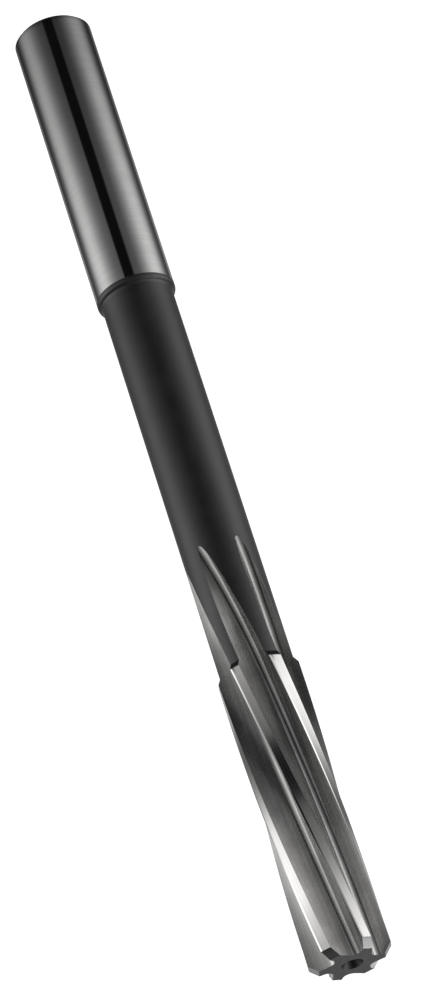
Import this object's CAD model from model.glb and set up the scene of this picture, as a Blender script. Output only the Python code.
"""Looks of a one-piece machine reamer: its steel in fine detail, its finishes and the studio.

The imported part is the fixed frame.  Everything is in metres in its frame: the X axis
is the tool axis, X = 0 is the shank's end face and +X points at the cutting tip.
"""
from __future__ import annotations

import logging
import math
from dataclasses import dataclass, field
from enum import Enum

import bmesh
import bpy
import numpy as np
from mathutils import Matrix, Vector

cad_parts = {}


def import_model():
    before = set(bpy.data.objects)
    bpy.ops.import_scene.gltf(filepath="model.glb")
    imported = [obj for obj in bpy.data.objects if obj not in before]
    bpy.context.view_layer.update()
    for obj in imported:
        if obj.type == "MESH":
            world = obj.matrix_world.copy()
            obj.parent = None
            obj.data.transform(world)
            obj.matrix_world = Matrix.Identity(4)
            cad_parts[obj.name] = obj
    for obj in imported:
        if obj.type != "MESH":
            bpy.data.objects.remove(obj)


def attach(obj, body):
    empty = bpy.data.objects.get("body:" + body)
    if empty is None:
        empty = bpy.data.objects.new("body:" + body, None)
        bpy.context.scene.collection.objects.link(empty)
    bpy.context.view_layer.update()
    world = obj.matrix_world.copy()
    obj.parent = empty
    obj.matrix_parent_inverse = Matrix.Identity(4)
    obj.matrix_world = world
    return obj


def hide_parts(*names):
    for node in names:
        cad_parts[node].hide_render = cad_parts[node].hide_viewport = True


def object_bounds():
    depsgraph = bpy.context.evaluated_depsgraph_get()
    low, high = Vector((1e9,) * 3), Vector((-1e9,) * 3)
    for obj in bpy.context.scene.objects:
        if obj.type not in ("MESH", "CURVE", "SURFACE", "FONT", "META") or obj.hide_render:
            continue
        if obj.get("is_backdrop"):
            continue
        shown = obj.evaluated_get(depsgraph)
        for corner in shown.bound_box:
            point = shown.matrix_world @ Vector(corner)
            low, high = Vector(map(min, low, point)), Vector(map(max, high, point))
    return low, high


MM = 0.001
NODE = "reamer"
BODY = "root"
MERGE_DISTANCE = 2e-6
FACE_TOLERANCE = 1e-3
RADIUS_TOLERANCE = 1e-6
TINY_DEPTH = 1e-9

log = logging.getLogger("reamer")


# --------------------------------------------------------------------------
# Zones and sizes
# --------------------------------------------------------------------------
class Zone(Enum):
    """The differently finished areas of the one piece of steel."""

    SHANK = 0
    BLACK = 1
    FLUTE = 2
    LAND = 3
    MARGIN = 4
    LEAD = 5
    TIP_FACE = 6
    END_FACE = 7
    CENTRE_HOLE = 8


@dataclass(frozen=True)
class BlankSizes:
    """The turned bar, in millimetres."""

    overall: float = 133.0
    cutting: float = 38.0
    shank: float = 40.4
    shank_band: float = 0.3
    shank_shoulder: float = 0.8
    back_shoulder: float = 0.8
    cutting_radius: float = 5.0
    shank_radius: float = 5.0
    neck_radius: float = 4.525
    end_chamfer: float = 0.5
    lead_chamfer: float = 1.0
    hole_mouth_radius: float = 1.325
    hole_pilot_radius: float = 0.625
    hole_pilot_length: float = 1.1
    hole_half_angle: float = 30.0
    drill_half_angle: float = 59.0


@dataclass(frozen=True)
class ToothSizes:
    """The teeth and the flutes between them, in millimetres and degrees."""

    pitches: tuple[float, ...] = (58.03, 59.88, 62.08)
    first_edge: float = 6.5
    helix: float = 8.0
    gullet: float = 45.0
    core_radius: float = 2.7
    root_radius: float = 0.9
    back_radius: float = 9.0
    margin: float = 0.2
    land_relief: float = 10.0
    lead_relief: float = 8.0
    full_depth: float = 33.5
    wheel_radius: float = 116.0


@dataclass(frozen=True)
class Fineness:
    """How many faces the teeth get."""

    flute_columns: int = 44
    land_columns: int = 14
    margin_columns: int = 3
    lead_rows: int = 5
    tooth_row: float = 1.0
    shoulder_rows: int = 8
    run_out_rows: int = 34
    dense: int = 260
    run_out_crowding: float = 1.7
    root_crowding: float = 1.6
    hole_points: int = 64


def polar(radius: float, angle: float) -> np.ndarray:
    """Section point at a radius and an angle in degrees."""
    turn = math.radians(angle)
    return np.array([radius * math.cos(turn), radius * math.sin(turn)])


# --------------------------------------------------------------------------
# One flute's section
# --------------------------------------------------------------------------
@dataclass
class FluteSection:
    """The gullet's section in a frame whose first axis is the radial rake face."""

    blank: BlankSizes
    tooth: ToothSizes
    fineness: Fineness
    root: np.ndarray = field(init=False)
    back: np.ndarray = field(init=False)
    axis: np.ndarray = field(init=False)
    curve: np.ndarray = field(init=False)

    def __post_init__(self) -> None:
        """Work out the fillet's and the tooth back's centres, and the dense curve."""
        tooth = self.tooth
        reach = tooth.core_radius + tooth.root_radius
        self.root = np.array([math.sqrt(reach**2 - tooth.root_radius**2), tooth.root_radius])
        heel = polar(self.blank.cutting_radius, tooth.gullet)
        apart = heel - self.root
        distance = float(np.linalg.norm(apart))
        to_root = tooth.back_radius - tooth.root_radius
        along = (distance**2 + to_root**2 - tooth.back_radius**2) / (2 * distance)
        across = math.sqrt(to_root**2 - along**2)
        unit = apart / distance
        self.back = self.root + along * unit + across * np.array([unit[1], -unit[0]])
        opening = math.atan2(heel[1], heel[0] - tooth.core_radius)
        self.axis = polar(1.0, math.degrees(opening) / 2)
        self.curve = self._dense_curve(heel)

    def _dense_curve(self, heel: np.ndarray) -> np.ndarray:
        """Points along the rake line, the root fillet and the tooth back.

        Args:
            heel: where the tooth back meets the cutting circle.

        Returns:
            An array of section points that starts outside the cutting circle and ends there.
        """
        count = self.fineness.dense
        over = 1.0
        rake_u = np.linspace(self.blank.cutting_radius + over, self.root[0], count)
        rake = np.column_stack([rake_u, np.zeros(count)])
        join = math.atan2(self.root[1] - self.back[1], self.root[0] - self.back[0])
        start, end = 1.5 * math.pi, join % (2 * math.pi)
        turn = np.linspace(start, end, count)[1:]
        ring = np.column_stack([np.cos(turn), np.sin(turn)])
        fillet = self.root + self.tooth.root_radius * ring
        stop = math.atan2(heel[1] - self.back[1], heel[0] - self.back[0])
        stop = stop % (2 * math.pi) - over / self.tooth.back_radius
        turn = np.linspace(end, stop, 2 * count)[1:]
        ring = np.column_stack([np.cos(turn), np.sin(turn)])
        back = self.back + self.tooth.back_radius * ring
        return np.vstack([rake, fillet, back])

    def rise(self, depth: float) -> float:
        """How far the wheel has risen at a depth behind the tip."""
        past = max(0.0, depth - self.tooth.full_depth)
        return past**2 / (2 * self.tooth.wheel_radius)

    def run_out_end(self) -> float:
        """Depth behind the tip at which the flute leaves the neck."""
        along = float(self.root @ self.axis)
        outer = self.blank.neck_radius + self.tooth.root_radius
        gap = outer**2 - float(self.root @ self.root)
        rise = math.sqrt(along**2 + gap) - along
        return self.tooth.full_depth + math.sqrt(2 * self.tooth.wheel_radius * rise)

    def leaving_angle(self) -> float:
        """Section angle, from the rake face, of the point where the flute ends."""
        end = self.root + self.rise(self.run_out_end()) * self.axis
        return math.degrees(math.atan2(end[1], end[0]))


@dataclass
class Land:
    """The outside of one tooth: margin, relief, chamfered lead, and the shoulder behind."""

    blank: BlankSizes
    tooth: ToothSizes
    twist: float

    def lead_normal(self) -> np.ndarray:
        """Outward normal (x, u, v) of the relieved chamfer, u along the cutting edge's radius."""
        lead = self.blank.lead_chamfer
        radius = self.blank.cutting_radius
        rear_u, rear_v = polar(radius, self.twist * lead)
        along = np.array([-lead, rear_u - (radius - lead), rear_v])
        along /= np.linalg.norm(along)
        outward = np.array([1.0, 1.0, 0.0]) / math.sqrt(2.0)
        fall = math.radians(self.tooth.lead_relief)
        across = np.array([0.0, 0.0, -1.0]) * math.cos(fall) - outward * math.sin(fall)
        normal = np.cross(along, across)
        return normal * np.sign(normal @ outward)

    def radius(self, angles: np.ndarray, depth: float) -> np.ndarray:
        """Outer radius of the tooth.

        Args:
            angles: degrees from the tooth's cutting edge, negative towards its heel.
            depth: millimetres behind the tip.

        Returns:
            The radius at each angle.
        """
        blank, tooth = self.blank, self.tooth
        radius = blank.cutting_radius
        margin = math.degrees(tooth.margin / radius)
        lean = np.radians(angles + margin + tooth.land_relief)
        flat = radius * math.cos(math.radians(tooth.land_relief)) / np.cos(lean)
        outer = np.where(angles < -margin, np.minimum(flat, radius), radius)
        past = (depth - blank.cutting) / blank.back_shoulder
        cone = radius + (blank.neck_radius - radius) * min(max(past, 0.0), 1.0)
        outer = np.minimum(outer, cone)
        if depth < blank.lead_chamfer:
            normal = self.lead_normal()
            turn = np.radians(angles + self.twist * depth)
            front = normal[1] * (radius - blank.lead_chamfer) + normal[0] * depth
            plane = front / (normal[1] * np.cos(turn) + normal[2] * np.sin(turn))
            outer = np.minimum(outer, plane)
        return outer


# --------------------------------------------------------------------------
# Mesh helpers
# --------------------------------------------------------------------------
@dataclass
class Grid:
    """A sheet of quads, rows by columns, with a zone for each face."""

    points: np.ndarray
    zones: np.ndarray

    def mesh(self, name: str) -> bpy.types.Mesh:
        """The sheet as a mesh that keeps each face's zone in an attribute."""
        rows, columns = self.points.shape[:2]
        corner = np.arange(rows * columns).reshape(rows, columns)
        quads = np.stack(
            [corner[:-1, :-1], corner[1:, :-1], corner[1:, 1:], corner[:-1, 1:]], axis=-1
        ).reshape(-1, 4)
        mesh = bpy.data.meshes.new(name)
        mesh.from_pydata(self.points.reshape(-1, 3).tolist(), [], quads.tolist())
        layer = mesh.attributes.new("zone", "INT", "FACE")
        layer.data.foreach_set("value", self.zones.reshape(-1).astype(np.int32))
        return mesh


def add_object(name: str, mesh: bpy.types.Mesh) -> bpy.types.Object:
    """Put a mesh into the scene as an object at the origin."""
    piece = bpy.data.objects.new(name, mesh)
    bpy.context.scene.collection.objects.link(piece)
    return piece


# --------------------------------------------------------------------------
# The toothed part
# --------------------------------------------------------------------------
@dataclass
class ToothedPart:
    """Half a turn of straight teeth, which Geometry Nodes twist and copy."""

    blank: BlankSizes
    tooth: ToothSizes
    fineness: Fineness
    section: FluteSection = field(init=False)
    land: Land = field(init=False)
    twist: float = field(init=False)

    def __post_init__(self) -> None:
        """Derive the helix's twist and the two halves of the section."""
        lean = math.tan(math.radians(self.tooth.helix))
        self.twist = math.degrees(lean / self.blank.cutting_radius)
        self.section = FluteSection(self.blank, self.tooth, self.fineness)
        self.land = Land(self.blank, self.tooth, self.twist)

    def depths(self) -> np.ndarray:
        """Depths behind the tip of the rows of vertices."""
        blank, tooth, fine = self.blank, self.tooth, self.fineness
        shoulder_end = blank.cutting + blank.back_shoulder
        end = self.section.run_out_end()
        teeth = round((blank.cutting - blank.lead_chamfer) / fine.tooth_row)
        fade = np.linspace(0.0, 1.0, fine.run_out_rows)
        parts = [
            np.linspace(0.0, blank.lead_chamfer, fine.lead_rows),
            np.linspace(blank.lead_chamfer, blank.cutting, teeth)[1:],
            np.linspace(blank.cutting, shoulder_end, fine.shoulder_rows)[1:],
            (end - (end - shoulder_end) * (1.0 - fade) ** fine.run_out_crowding)[1:],
        ]
        return np.concatenate(parts)

    def flute_points(self, depth: float, pitch: float) -> np.ndarray:
        """Section points of one flute, from the rake face's top to the next tooth's heel.

        Args:
            depth: millimetres behind the tip.
            pitch: angle from this tooth's cutting edge to the next one's.

        Returns:
            The section points, closest together in the root.
        """
        count = self.fineness.flute_columns
        curve = self.section.curve + self.section.rise(depth) * self.section.axis
        radii = np.hypot(curve[:, 0], curve[:, 1])
        angles = np.degrees(np.arctan2(curve[:, 1], curve[:, 0]))
        half = len(curve) // 3
        own = self.land.radius(np.zeros(len(curve)), depth)
        following = self.land.radius(angles - pitch, depth)
        outer = np.where(np.arange(len(curve)) < half, own, following)
        inside = np.flatnonzero(radii < outer)
        if len(inside) < 2:
            tip = polar(float(outer.min()), self.section.leaving_angle())
            return np.repeat(tip[None, :], count + 1, axis=0)
        first, last = inside[0], inside[-1]
        kept = [self._crossing(curve, radii - outer, first - 1)]
        kept.extend(curve[first : last + 1])
        kept.append(self._crossing(curve, radii - outer, last))
        return self._resample(np.array(kept), count)

    @staticmethod
    def _crossing(curve: np.ndarray, over: np.ndarray, index: int) -> np.ndarray:
        """Point between two samples at which the curve crosses the tooth's outside."""
        share = over[index] / (over[index] - over[index + 1])
        return curve[index] + share * (curve[index + 1] - curve[index])

    def _resample(self, line: np.ndarray, count: int) -> np.ndarray:
        """Points along a line, closer together where it turns."""
        steps = np.diff(line, axis=0)
        lengths = np.hypot(steps[:, 0], steps[:, 1])
        heading = np.unwrap(np.arctan2(steps[:, 1], steps[:, 0]))
        turns = np.abs(np.diff(heading, prepend=heading[0]))
        weights = lengths + turns * self.tooth.root_radius * self.fineness.root_crowding
        station = np.concatenate([[0.0], np.cumsum(weights)])
        wanted = np.linspace(0.0, station[-1], count + 1)
        return np.column_stack([np.interp(wanted, station, line[:, axis]) for axis in (0, 1)])

    def land_points(
        self, depth: float, pitch: float, start: float, end: float
    ) -> np.ndarray:
        """Section points of the land behind one flute, up to the next rake face.

        Args:
            depth: millimetres behind the tip.
            pitch: angle from this tooth's cutting edge to the next one's.
            start: angle of the heel.
            end: angle at which the next rake face starts.

        Returns:
            The section points without the first, which the flute already has.
        """
        fine, blank = self.fineness, self.blank
        neck_start = blank.cutting + blank.back_shoulder
        fade = (depth - neck_start) / (self.section.run_out_end() - neck_start)
        fade = min(max(fade, 0.0), 1.0)
        even = (end - start) * fine.margin_columns / (fine.margin_columns + fine.land_columns)
        margin = math.degrees(self.tooth.margin / blank.cutting_radius)
        margin += (even - margin) * fade
        angles = np.concatenate(
            [
                np.linspace(start, end - margin, fine.land_columns + 1)[1:],
                np.linspace(end - margin, end, fine.margin_columns + 1)[1:],
            ]
        )
        radii = self.land.radius(angles - pitch, depth)
        turn = np.radians(angles)
        return np.column_stack([radii * np.cos(turn), radii * np.sin(turn)])

    def row(self, depth: float) -> np.ndarray:
        """All points of half a turn at one depth, as section points from +Y towards +Z."""
        points: list[np.ndarray] = []
        edge = self.tooth.first_edge
        for number, pitch in enumerate(self.tooth.pitches):
            flute = self.flute_points(depth, pitch)
            top = math.degrees(math.atan2(flute[0][1], flute[0][0]))
            heel = math.degrees(math.atan2(flute[-1][1], flute[-1][0]))
            land = self.land_points(depth, pitch, heel, pitch + top)
            turn = math.radians(edge)
            spin = np.array([[math.cos(turn), -math.sin(turn)], [math.sin(turn), math.cos(turn)]])
            kept = np.vstack([flute if number == 0 else flute[1:], land])
            points.append(kept @ spin.T)
            edge += pitch
        return np.vstack(points)

    def zone_of(self, depth: float, column: int) -> Zone:
        """Finish of the face that starts at a depth and a column."""
        fine, blank = self.fineness, self.blank
        place = column % (fine.flute_columns + fine.land_columns + fine.margin_columns)
        if place < fine.flute_columns:
            return Zone.FLUTE
        if depth < blank.lead_chamfer:
            return Zone.LEAD
        if depth >= blank.cutting:
            return Zone.BLACK
        if place < fine.flute_columns + fine.land_columns:
            return Zone.LAND
        return Zone.MARGIN

    def half_turn(self) -> Grid:
        """The straight teeth of half a turn, tip first."""
        depths = self.depths()
        rows = []
        for depth in depths:
            section = self.row(float(depth))
            along = np.full((len(section), 1), self.blank.overall - depth)
            rows.append(np.hstack([along, section]) * MM)
        points = np.array(rows)
        zones = np.array(
            [
                [self.zone_of(depth + TINY_DEPTH, column).value for column in range(points.shape[1] - 1)]
                for depth in depths[:-1]
            ]
        )
        return Grid(points, zones)

    def ring_angles(self) -> list[float]:
        """Angles round the neck, where the flutes end, of the vertices all the way round."""
        end = self.section.run_out_end()
        section = self.row(end)
        angles = np.degrees(np.arctan2(section[:, 1], section[:, 0])) % 360
        kept = sorted({round(float(angle), 4) for angle in angles})
        half = [angle for angle in kept if angle < kept[0] + 180 - 1e-3]
        twist = self.twist * end
        return [angle + twist + turn for turn in (0, 180) for angle in half]


# --------------------------------------------------------------------------
# Geometry Nodes: twist the straight teeth and copy them round the axis
# --------------------------------------------------------------------------
class HelixTree:
    """Node tree that turns half a turn of straight teeth into the whole helical part."""

    def __init__(self, finishes: dict[Zone, bpy.types.Material]) -> None:
        """Build the tree with named inputs for its sizes.

        Args:
            finishes: the material of each zone.
        """
        self.tree = bpy.data.node_groups.new("helical_teeth", "GeometryNodeTree")
        self.sockets: dict[str, str] = {}
        self._interface()
        self._wire(finishes)

    def _interface(self) -> None:
        face = self.tree.interface
        face.new_socket("Geometry", in_out="INPUT", socket_type="NodeSocketGeometry")
        floats = {"Tip": 0.133, "Twist": 28.0, "Twist End": 0.055, "Merge Distance": MERGE_DISTANCE}
        for name, value in floats.items():
            socket = face.new_socket(name, in_out="INPUT", socket_type="NodeSocketFloat")
            socket.default_value = value
            self.sockets[name] = socket.identifier
        copies = face.new_socket("Copies", in_out="INPUT", socket_type="NodeSocketInt")
        copies.default_value = 2
        self.sockets["Copies"] = copies.identifier
        face.new_socket("Geometry", in_out="OUTPUT", socket_type="NodeSocketGeometry")

    def _math(self, kind: str, first: object, second: object) -> bpy.types.NodeSocket:
        """A Math node fed by two sockets or numbers, returning its output."""
        node = self.tree.nodes.new("ShaderNodeMath")
        node.operation = kind
        for socket, value in zip(node.inputs, (first, second)):
            if isinstance(value, bpy.types.NodeSocket):
                self.tree.links.new(value, socket)
            else:
                socket.default_value = value
        return node.outputs[0]

    def _wire(self, finishes: dict[Zone, bpy.types.Material]) -> None:
        """Twist each point by its depth, copy round the axis, merge, and dress by zone."""
        nodes, links = self.tree.nodes, self.tree.links
        entry = nodes.new("NodeGroupInput")
        leave = nodes.new("NodeGroupOutput")

        position = nodes.new("GeometryNodeInputPosition")
        split = nodes.new("ShaderNodeSeparateXYZ")
        links.new(position.outputs[0], split.inputs[0])
        depth = self._math("SUBTRACT", entry.outputs["Tip"], split.outputs["X"])
        depth = self._math("MINIMUM", depth, entry.outputs["Twist End"])
        angle = self._math("MULTIPLY", depth, entry.outputs["Twist"])
        turn = nodes.new("ShaderNodeVectorRotate")
        turn.rotation_type = "X_AXIS"
        links.new(position.outputs[0], turn.inputs["Vector"])
        links.new(angle, turn.inputs["Angle"])
        twisted = nodes.new("GeometryNodeSetPosition")
        links.new(entry.outputs["Geometry"], twisted.inputs["Geometry"])
        links.new(turn.outputs[0], twisted.inputs["Position"])

        line = nodes.new("GeometryNodeMeshLine")
        line.inputs["Offset"].default_value = (0.0, 0.0, 0.0)
        links.new(entry.outputs["Copies"], line.inputs["Count"])
        index = nodes.new("GeometryNodeInputIndex")
        step = self._math("DIVIDE", 2 * math.pi, entry.outputs["Copies"])
        spin = nodes.new("ShaderNodeCombineXYZ")
        links.new(self._math("MULTIPLY", index.outputs[0], step), spin.inputs["X"])
        copies = nodes.new("GeometryNodeInstanceOnPoints")
        links.new(line.outputs["Mesh"], copies.inputs["Points"])
        links.new(twisted.outputs["Geometry"], copies.inputs["Instance"])
        links.new(spin.outputs[0], copies.inputs["Rotation"])

        real = nodes.new("GeometryNodeRealizeInstances")
        links.new(copies.outputs[0], real.inputs[0])
        merge = nodes.new("GeometryNodeMergeByDistance")
        links.new(real.outputs[0], merge.inputs["Geometry"])
        links.new(entry.outputs["Merge Distance"], merge.inputs["Distance"])

        zone = nodes.new("GeometryNodeInputNamedAttribute")
        zone.data_type = "INT"
        zone.inputs["Name"].default_value = "zone"
        geometry = merge.outputs[0]
        for kind, material in finishes.items():
            same = nodes.new("FunctionNodeCompare")
            same.data_type = "INT"
            same.operation = "EQUAL"
            same_inputs = [socket for socket in same.inputs if socket.type == "INT"]
            links.new(zone.outputs["Attribute"], same_inputs[0])
            same_inputs[1].default_value = kind.value
            dress = nodes.new("GeometryNodeSetMaterial")
            dress.inputs["Material"].default_value = material
            links.new(same.outputs[0], dress.inputs["Selection"])
            links.new(geometry, dress.inputs["Geometry"])
            geometry = dress.outputs[0]
        links.new(geometry, leave.inputs[0])

    def run(self, mesh: bpy.types.Mesh, values: dict[str, float]) -> bpy.types.Mesh:
        """Apply the tree to a mesh.

        Args:
            mesh: the straight teeth.
            values: the tree's inputs by name.

        Returns:
            The plain mesh that the tree makes.
        """
        carrier = add_object("helix_carrier", mesh)
        modifier = carrier.modifiers.new("helix", "NODES")
        modifier.node_group = self.tree
        for name, value in values.items():
            modifier[self.sockets[name]] = value
        graph = bpy.context.evaluated_depsgraph_get()
        result = bpy.data.meshes.new_from_object(carrier.evaluated_get(graph))
        carrier.modifiers.clear()
        bpy.data.objects.remove(carrier)
        return result


# --------------------------------------------------------------------------
# The turned part: neck, shoulder, shank and both centre holes
# --------------------------------------------------------------------------
@dataclass
class TurnedPart:
    """What the lathe and the cylindrical grinder leave behind the flutes."""

    blank: BlankSizes
    edge_round: float = 0.06
    arc_steps: int = 8
    long_step: float = 3.0

    def shoulder(self) -> list[tuple[float, float]]:
        """Rounded step from the shank's band down to the neck, as (x, r)."""
        blank = self.blank
        start = blank.shank + blank.shank_band
        length = blank.shank_shoulder
        drop = blank.shank_radius - blank.neck_radius
        radius = (length**2 + drop**2) / (4 * drop)
        turn = math.asin(length / 2 / radius)
        line = []
        for step in range(1, self.arc_steps + 1):
            angle = turn * step / self.arc_steps
            line.append((start + radius * math.sin(angle),
                         blank.shank_radius - radius * (1 - math.cos(angle))))
        for step in range(self.arc_steps - 1, -1, -1):
            angle = turn * step / self.arc_steps
            line.append((start + length - radius * math.sin(angle),
                         blank.neck_radius + radius * (1 - math.cos(angle))))
        return line

    def rounded(
        self, before: tuple[float, float], corner: tuple[float, float], after: tuple[float, float]
    ) -> list[tuple[float, float]]:
        """A corner of the profile, eased by a small bezier arc."""
        spot = Vector(corner)
        first = spot + (Vector(before) - spot).normalized() * self.edge_round
        last = spot + (Vector(after) - spot).normalized() * self.edge_round
        line = []
        for step in range(self.arc_steps // 2 + 1):
            share = step / (self.arc_steps // 2)
            point = first * (1 - share) ** 2 + spot * 2 * share * (1 - share) + last * share**2
            line.append((point.x, point.y))
        return line

    def hole(self, face: float, inward: int) -> list[tuple[float, float]]:
        """Centre hole from its mouth to its bottom, as (x, r)."""
        blank = self.blank
        mouth, pilot = blank.hole_mouth_radius, blank.hole_pilot_radius
        cone = (mouth - pilot) / math.tan(math.radians(blank.hole_half_angle))
        pilot_end = cone + blank.hole_pilot_length
        bottom = pilot_end + pilot / math.tan(math.radians(blank.drill_half_angle))
        return [
            (face, mouth),
            (face + inward * cone, pilot),
            (face + inward * pilot_end, pilot),
            (face + inward * bottom, 0.0),
        ]

    def outside(self, flute_end: float) -> list[tuple[float, float, Zone]]:
        """Profile from where the flutes end to the shank's end face, with zones.

        Args:
            flute_end: x of the flutes' end.

        Returns:
            (x, r, zone of the faces that follow) for each ring.
        """
        blank = self.blank
        neck_end = blank.shank + blank.shank_band + blank.shank_shoulder
        rows: list[tuple[float, float, Zone]] = []
        neck_steps = math.ceil((flute_end - neck_end) / self.long_step)
        for spot in np.linspace(flute_end, neck_end, neck_steps + 1)[:-1]:
            rows.append((float(spot), blank.neck_radius, Zone.BLACK))
        rows += [(x, r, Zone.BLACK) for x, r in reversed(self.shoulder())]
        rows.append((blank.shank + blank.shank_band, blank.shank_radius, Zone.BLACK))
        shank_steps = math.ceil(blank.shank / self.long_step)
        for spot in np.linspace(blank.shank, 1.0, shank_steps + 1):
            rows.append((float(spot), blank.shank_radius, Zone.SHANK))
        top = (blank.end_chamfer, blank.shank_radius)
        low = (0.0, blank.shank_radius - blank.end_chamfer)
        rows += [(x, r, Zone.SHANK) for x, r in self.rounded((1.0, top[1]), top, low)]
        rows += [(x, r, Zone.END_FACE) for x, r in self.rounded(top, low, (0.0, 0.0))]
        return rows


def lathe(
    mesh: bmesh.types.BMesh,
    rows: list[tuple[float, float, Zone]],
    angles: list[float],
    slots: dict[Zone, int],
) -> list[bmesh.types.BMVert]:
    """Add a surface of revolution about the X axis.

    Args:
        mesh: where the faces go.
        rows: (x, r, zone of the faces that follow) in millimetres.
        angles: section angles of the vertices, in degrees.
        slots: material index of each zone.

    Returns:
        The vertices of the last ring.
    """
    before: list[bmesh.types.BMVert] = []
    zone = rows[0][2]
    for x, r, next_zone in rows:
        if r <= 0.0:
            ring = [mesh.verts.new((x * MM, 0.0, 0.0))] * len(angles)
        else:
            ring = [
                mesh.verts.new(Vector((x, *polar(r, angle))) * MM) for angle in angles
            ]
        for number in range(len(angles)):
            if not before:
                break
            following = (number + 1) % len(angles)
            corners = [before[number], ring[number], ring[following], before[following]]
            unique = list(dict.fromkeys(corners))
            face = mesh.faces.new(unique)
            face.material_index = slots[zone]
        before, zone = ring, next_zone
    return before


# --------------------------------------------------------------------------
# Finishes
# --------------------------------------------------------------------------
class Wires:
    """Short ways to add and join shader nodes."""

    def __init__(self, name: str) -> None:
        """Start an empty material with a Principled shader.

        Args:
            name: the material's name.
        """
        self.material = bpy.data.materials.new(name)
        self.material.use_nodes = True
        self.tree = self.material.node_tree
        self.shader = self.tree.nodes["Principled BSDF"]
        self.object_place = self.node("ShaderNodeTexCoord").outputs["Object"]

    def node(self, kind: str, **values: object) -> bpy.types.Node:
        """A new node with some of its properties set."""
        made = self.tree.nodes.new(kind)
        for name, value in values.items():
            setattr(made, name, value)
        return made

    def feed(self, source: object, target: bpy.types.NodeSocket) -> None:
        """Join a socket to an input, or set the input's own value."""
        if isinstance(source, bpy.types.NodeSocket):
            self.tree.links.new(source, target)
        else:
            target.default_value = source

    def math(self, kind: str, first: object, second: object = 0.0) -> bpy.types.NodeSocket:
        """A Math node's output."""
        made = self.node("ShaderNodeMath", operation=kind)
        self.feed(first, made.inputs[0])
        self.feed(second, made.inputs[1])
        return made.outputs[0]

    def scaled(self, place: object, scale: tuple[float, float, float]) -> bpy.types.NodeSocket:
        """A place multiplied by a scale for each axis."""
        made = self.node("ShaderNodeVectorMath", operation="MULTIPLY")
        self.feed(place, made.inputs[0])
        made.inputs[1].default_value = scale
        return made.outputs[0]

    def noise(self, place: object, scale: float, detail: float = 2.0) -> bpy.types.NodeSocket:
        """Noise from 0 to 1."""
        made = self.node("ShaderNodeTexNoise")
        self.feed(place, made.inputs["Vector"])
        made.inputs["Scale"].default_value = scale
        made.inputs["Detail"].default_value = detail
        return made.outputs["Fac"]

    def ramp(
        self, value: object, low: float, high: float, out_low: float, out_high: float
    ) -> bpy.types.NodeSocket:
        """A value moved from one range to another and clamped."""
        made = self.node("ShaderNodeMapRange")
        self.feed(value, made.inputs["Value"])
        for name, number in zip(
            ("From Min", "From Max", "To Min", "To Max"), (low, high, out_low, out_high)
        ):
            made.inputs[name].default_value = number
        return made.outputs["Result"]

    def tint(
        self, share: object, first: tuple[float, ...], second: tuple[float, ...]
    ) -> bpy.types.NodeSocket:
        """A colour between two, by a share."""
        made = self.node("ShaderNodeMix", data_type="RGBA")
        self.feed(share, made.inputs["Factor"])
        colours = [socket for socket in made.inputs if socket.type == "RGBA"]
        colours[0].default_value = (*first, 1.0)
        colours[1].default_value = (*second, 1.0)
        return [socket for socket in made.outputs if socket.type == "RGBA"][0]

    def shaded_along(
        self, colour: bpy.types.NodeSocket, start: float, end: float, shade: float
    ) -> bpy.types.NodeSocket:
        """A colour that grows from a share of itself to the whole along the X axis."""
        split = self.node("ShaderNodeSeparateXYZ")
        self.feed(self.object_place, split.inputs[0])
        share = self.ramp(split.outputs["X"], start, end, shade, 1.0)
        made = self.node("ShaderNodeVectorMath", operation="SCALE")
        self.feed(colour, made.inputs[0])
        self.feed(share, made.inputs["Scale"])
        return made.outputs[0]

    def unwound(self, tip: float, twist: float) -> bpy.types.NodeSocket:
        """The object place with the helix's twist taken out, so lines follow the flutes.

        Args:
            tip: x of the tip, in metres.
            twist: radians per metre.
        """
        split = self.node("ShaderNodeSeparateXYZ")
        self.feed(self.object_place, split.inputs[0])
        depth = self.math("SUBTRACT", tip, split.outputs["X"])
        turn = self.node("ShaderNodeVectorRotate", rotation_type="X_AXIS")
        self.feed(self.object_place, turn.inputs["Vector"])
        self.feed(self.math("MULTIPLY", depth, -twist), turn.inputs["Angle"])
        return turn.outputs[0]

    def bump(self, height: object, strength: float, distance: float) -> None:
        """Drive the shader's normal from a height."""
        made = self.node("ShaderNodeBump")
        self.feed(height, made.inputs["Height"])
        made.inputs["Strength"].default_value = strength
        made.inputs["Distance"].default_value = distance
        self.feed(made.outputs["Normal"], self.shader.inputs["Normal"])


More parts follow.
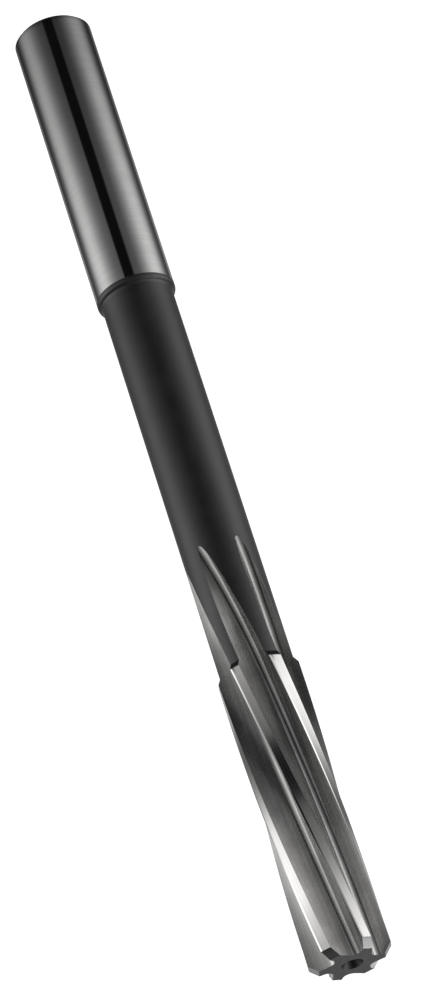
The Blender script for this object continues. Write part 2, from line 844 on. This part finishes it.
@dataclass(frozen=True)
class GroundSteel:
    """Bare ground steel with its grinding lines along the flutes or round the axis.

    The colour wanders between light and dark, and falls to run_out_shade of itself at
    reach behind the tip, where the flutes end.
    """

    name: str
    light: tuple[float, float, float]
    dark: tuple[float, float, float]
    roughness: float
    spread: float
    line_scale: tuple[float, float, float]
    line_height: float
    follows_helix: bool
    run_out_shade: float = 1.0
    reach: float = 0.055
    metal_share: float = 1.0
    broad_share: float = 0.22
    patch_scale: float = 260.0

    def material(self, tip: float, twist: float) -> bpy.types.Material:
        """Build the material.

        Args:
            tip: x of the tip, in metres.
            twist: the helix's radians per metre.

        Returns:
            The finished material.
        """
        wires = Wires(self.name)
        place = wires.unwound(tip, twist) if self.follows_helix else wires.object_place
        lines = wires.noise(wires.scaled(place, self.line_scale), 1.0, 3.0)
        broad_scale = tuple(share * self.broad_share for share in self.line_scale)
        broad = wires.noise(wires.scaled(place, broad_scale), 1.0)
        patch = wires.noise(wires.object_place, self.patch_scale)
        blend = wires.math("MULTIPLY", broad, patch)
        colour = wires.tint(wires.ramp(blend, 0.12, 0.4, 0.0, 1.0), self.dark, self.light)
        if self.run_out_shade < 1.0:
            colour = wires.shaded_along(colour, tip - self.reach, tip, self.run_out_shade)
        wires.feed(colour, wires.shader.inputs["Base Color"])
        rough = wires.ramp(
            lines, 0.3, 0.7, self.roughness - self.spread, self.roughness + self.spread
        )
        wires.feed(rough, wires.shader.inputs["Roughness"])
        wires.shader.inputs["Metallic"].default_value = self.metal_share
        wires.bump(lines, 0.6, self.line_height * MM)
        return wires.material


@dataclass(frozen=True)
class BlackOxide:
    """The satin black skin that heat treatment leaves on what isn't ground."""

    name: str = "black_oxide"
    colour: tuple[float, float, float] = (0.012, 0.012, 0.012)
    bloom: tuple[float, float, float] = (0.019, 0.019, 0.02)
    mottle_scale: float = 420.0
    grain_scale: tuple[float, float, float] = (9000.0, 2500.0, 2500.0)
    grain_height: float = 0.002
    roughness: float = 0.43
    gloss_index: float = 1.75

    def material(self) -> bpy.types.Material:
        """Build the material."""
        wires = Wires(self.name)
        mottle = wires.noise(wires.object_place, self.mottle_scale, 4.0)
        grain = wires.noise(wires.scaled(wires.object_place, self.grain_scale), 1.0)
        colour = wires.tint(wires.ramp(mottle, 0.35, 0.7, 0.0, 1.0), self.colour, self.bloom)
        wires.feed(colour, wires.shader.inputs["Base Color"])
        rough = wires.ramp(mottle, 0.3, 0.7, self.roughness - 0.03, self.roughness + 0.04)
        wires.feed(rough, wires.shader.inputs["Roughness"])
        wires.shader.inputs["Metallic"].default_value = 0.0
        wires.shader.inputs["IOR"].default_value = self.gloss_index
        wires.bump(grain, 0.25, self.grain_height * MM)
        return wires.material


def finishes(tip: float, twist: float) -> dict[Zone, bpy.types.Material]:
    """The material of each zone.

    Args:
        tip: x of the tip, in metres.
        twist: the helix's radians per metre.

    Returns:
        A material for every zone.
    """
    round_lines = (26000.0, 300.0, 300.0)
    helix_lines = (60.0, 14000.0, 14000.0)
    tip_face_lines = (3000.0, 9000.0, 3000.0)
    end_face_lines = (3000.0, 9000.0, 9000.0)
    shank = GroundSteel(
        "ground_shank",
        light=(0.60, 0.60, 0.595),
        dark=(0.54, 0.54, 0.535),
        roughness=0.09,
        spread=0.02,
        line_scale=round_lines,
        line_height=0.0002,
        follows_helix=False,
    )
    flute = GroundSteel(
        "ground_flute",
        light=(0.72, 0.715, 0.705),
        dark=(0.50, 0.495, 0.485),
        roughness=0.23,
        spread=0.07,
        line_scale=helix_lines,
        line_height=0.003,
        follows_helix=True,
        run_out_shade=0.5,
        metal_share=0.8,
    )
    land = GroundSteel(
        "ground_land",
        light=(0.70, 0.695, 0.685),
        dark=(0.60, 0.59, 0.58),
        roughness=0.20,
        spread=0.04,
        line_scale=helix_lines,
        line_height=0.001,
        follows_helix=True,
    )
    margin = GroundSteel(
        "ground_margin",
        light=(0.85, 0.85, 0.845),
        dark=(0.80, 0.80, 0.79),
        roughness=0.16,
        spread=0.03,
        line_scale=helix_lines,
        line_height=0.0005,
        follows_helix=True,
    )
    lead = GroundSteel(
        "ground_lead",
        light=(0.44, 0.445, 0.44),
        dark=(0.34, 0.345, 0.34),
        roughness=0.28,
        spread=0.05,
        line_scale=round_lines,
        line_height=0.001,
        follows_helix=False,
    )
    face = GroundSteel(
        "ground_tip_face",
        light=(0.235, 0.245, 0.24),
        dark=(0.20, 0.205, 0.20),
        roughness=0.45,
        spread=0.04,
        line_scale=tip_face_lines,
        line_height=0.001,
        follows_helix=False,
    )
    end = GroundSteel(
        "turned_end_face",
        light=(0.34, 0.34, 0.34),
        dark=(0.28, 0.28, 0.28),
        roughness=0.38,
        spread=0.05,
        line_scale=end_face_lines,
        line_height=0.001,
        follows_helix=False,
    )
    black = BlackOxide().material()
    hole = BlackOxide("centre_hole_black", (0.003, 0.003, 0.003), (0.006, 0.006, 0.006), 0.3)
    return {
        Zone.SHANK: shank.material(tip, twist),
        Zone.BLACK: black,
        Zone.FLUTE: flute.material(tip, twist),
        Zone.LAND: land.material(tip, twist),
        Zone.MARGIN: margin.material(tip, twist),
        Zone.LEAD: lead.material(tip, twist),
        Zone.TIP_FACE: face.material(tip, twist),
        Zone.END_FACE: end.material(tip, twist),
        Zone.CENTRE_HOLE: hole.material(),
    }


# --------------------------------------------------------------------------
# The reamer
# --------------------------------------------------------------------------
@dataclass
class Reamer:
    """The whole tool as one closed mesh."""

    blank: BlankSizes = field(default_factory=BlankSizes)
    tooth: ToothSizes = field(default_factory=ToothSizes)
    fineness: Fineness = field(default_factory=Fineness)
    sharp_angle: float = 28.0

    def build(self) -> bpy.types.Object:
        """Build, join and dress the teeth, the turned part and the tip face."""
        toothed = ToothedPart(self.blank, self.tooth, self.fineness)
        turned = TurnedPart(self.blank)
        end = toothed.section.run_out_end()
        tip = self.blank.overall * MM
        twist = math.radians(toothed.twist) / MM
        materials = finishes(tip, twist)
        values = {"Tip": tip, "Twist": twist, "Twist End": end * MM, "Copies": 2}
        straight = toothed.half_turn().mesh("straight_teeth")
        teeth = HelixTree(materials).run(straight, values)
        log.info("teeth: %d faces", len(teeth.polygons))

        slots = {zone: number for number, zone in enumerate(materials)}
        names = {material.name: slots[zone] for zone, material in materials.items()}
        work = bmesh.new()
        work.from_mesh(teeth)
        lookup = [names.get(item.name, 0) if item else 0 for item in teeth.materials]
        for face in work.faces:
            face.material_index = lookup[face.material_index]
        angles = toothed.ring_angles()
        lathe(work, turned.outside(self.blank.overall - end), angles, slots)
        self._end_hole(work, turned, angles, slots)
        self._tip_face(work, turned, slots)
        bmesh.ops.remove_doubles(work, verts=work.verts, dist=MERGE_DISTANCE)
        bmesh.ops.dissolve_degenerate(work, edges=work.edges, dist=1e-8)
        bmesh.ops.recalc_face_normals(work, faces=work.faces)
        open_edges = sum(1 for edge in work.edges if not edge.is_manifold)
        log.info("reamer: %d faces, %d open edges", len(work.faces), open_edges)

        mesh = bpy.data.meshes.new("reamer_steel")
        work.to_mesh(mesh)
        work.free()
        for material in materials.values():
            mesh.materials.append(material)
        mesh.shade_smooth()
        mesh.set_sharp_from_angle(angle=math.radians(self.sharp_angle))
        return add_object("reamer_steel", mesh)

    def _end_hole(
        self,
        work: bmesh.types.BMesh,
        turned: TurnedPart,
        angles: list[float],
        slots: dict[Zone, int],
    ) -> None:
        """Add the shank's end face inside the chamfer, and its centre hole."""
        edge = self.blank.shank_radius - self.blank.end_chamfer - turned.edge_round
        rows = [(0.0, edge, Zone.END_FACE)]
        rows += [(x, r, Zone.CENTRE_HOLE) for x, r in turned.hole(0.0, 1)]
        lathe(work, rows, angles, slots)

    def _tip_face(
        self, work: bmesh.types.BMesh, turned: TurnedPart, slots: dict[Zone, int]
    ) -> None:
        """Fill the tip between the teeth's outline and the centre hole, and add the hole."""
        tip = self.blank.overall
        outline = [
            edge
            for edge in work.edges
            if edge.is_boundary and all(abs(v.co.x / MM - tip) < FACE_TOLERANCE for v in edge.verts)
        ]
        count = self.fineness.hole_points
        angles = [360.0 * number / count for number in range(count)]
        rows = [(x, r, Zone.CENTRE_HOLE) for x, r in turned.hole(tip, -1)]
        known = set(work.verts)
        lathe(work, rows, angles, slots)
        mouth_radius = self.blank.hole_mouth_radius * MM
        mouth = [
            edge
            for edge in work.edges
            if all(
                vertex not in known
                and abs(vertex.co.x / MM - tip) < FACE_TOLERANCE
                and abs(math.hypot(vertex.co.y, vertex.co.z) - mouth_radius) < RADIUS_TOLERANCE
                for vertex in edge.verts
            )
        ]
        filled = bmesh.ops.triangle_fill(work, use_beauty=True, edges=outline + mouth)
        for item in filled["geom"]:
            if isinstance(item, bmesh.types.BMFace):
                item.material_index = slots[Zone.TIP_FACE]


# --------------------------------------------------------------------------
# Studio
# --------------------------------------------------------------------------
@dataclass
class LightArch:
    """A curved soft light along one side of the tool, brightest near the tool's height."""

    name: str
    side: int
    radius: float = 0.45
    start: float = -0.9
    end: float = 0.9
    rows: int = 60
    columns: int = 72
    heights: tuple[float, ...] = (-90, -62, -50, -38, -26, -14, -2, 10, 22, 34, 46, 58, 70, 76, 77)
    glow: tuple[float, ...] = (
        0.28, 0.40, 0.09, 0.10, 0.27, 0.69, 0.98, 1.03, 0.87, 0.55, 0.30, 0.15, 0.12, 0.10, 0.0)
    places: tuple[float, ...] = (-0.45, -0.31, -0.23, -0.12, 0.0, 0.5, 0.9)
    fade: tuple[float, ...] = (0.10, 0.33, 0.92, 1.50, 1.65, 1.6, 1.0)

    def build(self) -> bpy.types.Object:
        """The light as a bent sheet whose brightness is a point attribute."""
        lowest, highest = self.heights[0], self.heights[-1]
        heights = np.linspace(lowest, highest, self.columns)
        places = np.linspace(self.start, self.end, self.rows)
        bend = np.radians(heights)
        points = np.zeros((self.rows, self.columns, 3))
        points[:, :, 0] = places[:, None]
        points[:, :, 1] = self.side * self.radius * np.cos(bend)
        points[:, :, 2] = self.radius * np.sin(bend)
        zones = np.zeros((self.rows - 1, self.columns - 1))
        mesh = Grid(points, zones).mesh(self.name)
        level = np.interp(places, self.places, self.fade)[:, None]
        level = level * np.interp(heights, self.heights, self.glow)[None, :]
        layer = mesh.attributes.new("glow", "FLOAT", "POINT")
        layer.data.foreach_set("value", level.reshape(-1).astype(np.float32))
        sheet = add_object(self.name, mesh)
        sheet.visible_camera = False
        sheet.data.materials.append(self._glowing())
        sheet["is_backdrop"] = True
        return sheet

    def _glowing(self) -> bpy.types.Material:
        """A material that shines as its point attribute says."""
        material = bpy.data.materials.new(self.name + "_glow")
        material.use_nodes = True
        tree = material.node_tree
        tree.nodes.clear()
        level = tree.nodes.new("ShaderNodeAttribute")
        level.attribute_name = "glow"
        shine = tree.nodes.new("ShaderNodeEmission")
        leave = tree.nodes.new("ShaderNodeOutputMaterial")
        tree.links.new(level.outputs["Fac"], shine.inputs["Strength"])
        tree.links.new(shine.outputs[0], leave.inputs["Surface"])
        return material


@dataclass
class Studio:
    """Pale floor, soft lights, backdrop and camera."""

    floor_size: float = 6.0
    camera_place: tuple[float, float, float] = (0.30871, 0.0, 0.45233)
    camera_aim: tuple[float, float, float] = (0.07083, 0.00114, 0.0)
    camera_roll: float = 17.94
    lens: float = 153.0
    ambient: float = 0.006
    clip_start: float = 0.01
    clip_end: float = 50.0
    left_glow: tuple[float, ...] = (
        0.28, 0.40, 0.09, 0.10, 0.27, 0.69, 0.98, 1.03, 0.87, 0.57, 0.34, 0.21, 0.16, 0.14, 0.0)
    left_places: tuple[float, ...] = (-0.45, -0.31, -0.23, -0.12, 0.0, 0.24, 0.40, 0.9)
    left_fade: tuple[float, ...] = (0.10, 0.33, 0.92, 1.50, 1.6, 1.5, 0.2, 0.15)

    def build(self, floor_height: float) -> None:
        """Make everything that isn't the tool.

        Args:
            floor_height: z of the floor, in metres.
        """
        self._floor(floor_height)
        LightArch("soft_light_right", 1).build()
        LightArch(
            "soft_light_left",
            side=-1,
            glow=self.left_glow,
            places=self.left_places,
            fade=self.left_fade,
        ).build()
        self._backdrop()
        self._camera()
        bpy.context.scene.view_settings.view_transform = "Standard"

    def _floor(self, height: float) -> None:
        """A plain white floor that casts no reflection into the steel."""
        half = self.floor_size / 2
        corners = [(-half, -half), (half, -half), (half, half), (-half, half)]
        mesh = bpy.data.meshes.new("floor")
        mesh.from_pydata([(x, y, height) for x, y in corners], [], [(0, 1, 2, 3)])
        floor = add_object("floor", mesh)
        material = bpy.data.materials.new("floor_white")
        material.use_nodes = True
        shader = material.node_tree.nodes["Principled BSDF"]
        shader.inputs["Base Color"].default_value = (0.8, 0.8, 0.8, 1.0)
        shader.inputs["Emission Color"].default_value = (1.0, 1.0, 1.0, 1.0)
        shader.inputs["Emission Strength"].default_value = 1.0
        mesh.materials.append(material)
        floor.visible_glossy = False
        floor.visible_diffuse = False
        floor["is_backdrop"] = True

    def _backdrop(self) -> None:
        """White for the camera and a dim fill for the steel."""
        world = bpy.data.worlds.new("studio")
        world.use_nodes = True
        tree = world.node_tree
        back = tree.nodes["Background"]
        path = tree.nodes.new("ShaderNodeLightPath")
        level = tree.nodes.new("ShaderNodeMapRange")
        level.inputs["To Min"].default_value = self.ambient
        level.inputs["To Max"].default_value = 1.0
        tree.links.new(path.outputs["Is Camera Ray"], level.inputs["Value"])
        back.inputs["Color"].default_value = (1.0, 1.0, 1.0, 1.0)
        tree.links.new(level.outputs[0], back.inputs["Strength"])
        bpy.context.scene.world = world

    def _camera(self) -> None:
        """The camera, looking down along the tool from beyond its tip."""
        place, aim = Vector(self.camera_place), Vector(self.camera_aim)
        look = (aim - place).normalized()
        across = Vector((0.0, 1.0, 0.0))
        right = (across - look * across.dot(look)).normalized()
        right = Matrix.Rotation(math.radians(self.camera_roll), 3, look) @ right
        up = right.cross(look)
        data = bpy.data.cameras.new("camera")
        data.lens = self.lens
        data.clip_start = self.clip_start
        data.clip_end = self.clip_end
        camera = bpy.data.objects.new("camera", data)
        turn = Matrix((right, up, -look)).transposed()
        camera.matrix_world = Matrix.Translation(place) @ turn.to_4x4()
        bpy.context.scene.collection.objects.link(camera)
        bpy.context.scene.camera = camera


# --------------------------------------------------------------------------
def main() -> None:
    """Load the frame, build the tool and the studio, and note the sizes."""
    logging.basicConfig(level=logging.INFO, format="%(name)s: %(message)s")
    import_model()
    cad_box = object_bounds()

    piece = Reamer().build()
    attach(piece, BODY)
    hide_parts(NODE)
    log.info("piece %s rides on %s", piece.name, BODY)

    Studio().build(cad_box[0][2])


if __name__ == "__main__":
    main()
